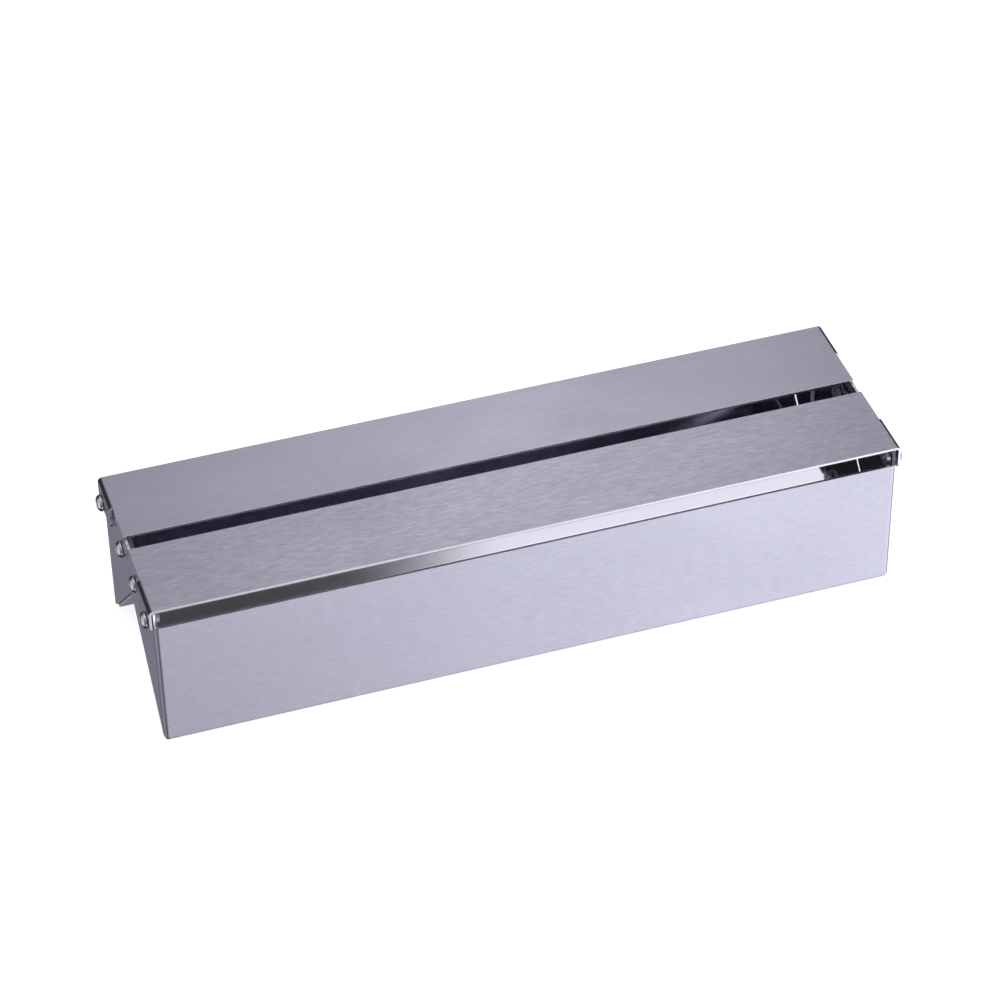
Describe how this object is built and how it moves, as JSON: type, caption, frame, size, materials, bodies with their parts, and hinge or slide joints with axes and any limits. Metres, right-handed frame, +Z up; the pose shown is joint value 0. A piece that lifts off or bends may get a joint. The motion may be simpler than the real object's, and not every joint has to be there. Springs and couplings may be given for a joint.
{
  "type": "cling film dispenser",
  "caption": "Long folded stainless steel box with two hinged lids over two V-shaped roll troughs, a slot between the lids and an open notch underneath.",
  "frame": {"origin": "bottom centre of the box, on the surface that its two lower folds stand on", "axes": "+X along the length, towards the right end seen from the front; -Y is the front, where the front lid's hinge is; +Z up"},
  "size_m": [0.3398, 0.0924, 0.0734],
  "materials": {
    "brushed_stainless": "fine brushing along the length outside, bright rolled face inside",
    "bright_stainless": "smooth bright fasteners"
  },
  "bodies": {
    "base": {"body_shell": "brushed_stainless", "left_end_plate": "brushed_stainless", "right_end_plate": "brushed_stainless", "pivot_screw_front_left": "bright_stainless", "pivot_shim_front_left": "bright_stainless", "pivot_nut_front_left": "bright_stainless", "joint_screw_front_left": "bright_stainless", "joint_nut_front_left": "bright_stainless", "pivot_screw_front_right": "bright_stainless", "pivot_shim_front_right": "bright_stainless", "pivot_nut_front_right": "bright_stainless", "joint_screw_front_right": "bright_stainless", "joint_nut_front_right": "bright_stainless", "pivot_screw_rear_left": "bright_stainless", "pivot_shim_rear_left": "bright_stainless", "pivot_nut_rear_left": "bright_stainless", "joint_screw_rear_left": "bright_stainless", "joint_nut_rear_left": "bright_stainless", "pivot_screw_rear_right": "bright_stainless", "pivot_shim_rear_right": "bright_stainless", "pivot_nut_rear_right": "bright_stainless", "joint_screw_rear_right": "bright_stainless", "joint_nut_rear_right": "bright_stainless"},
    "front_lid": {"front_lid": "brushed_stainless"},
    "rear_lid": {"rear_lid": "brushed_stainless"}
  },
  "joints": [
    {"name": "front_lid_hinge", "type": "hinge", "parent": "base", "child": "front_lid", "pos_m": [0, -0.0399, 0.0645], "axis": [1, 0, 0], "range_deg": [0, 99]},
    {"name": "rear_lid_hinge", "type": "hinge", "parent": "base", "child": "rear_lid", "pos_m": [0, 0.0399, 0.0645], "axis": [-1, 0, 0], "range_deg": [0, 99]}
  ]
}
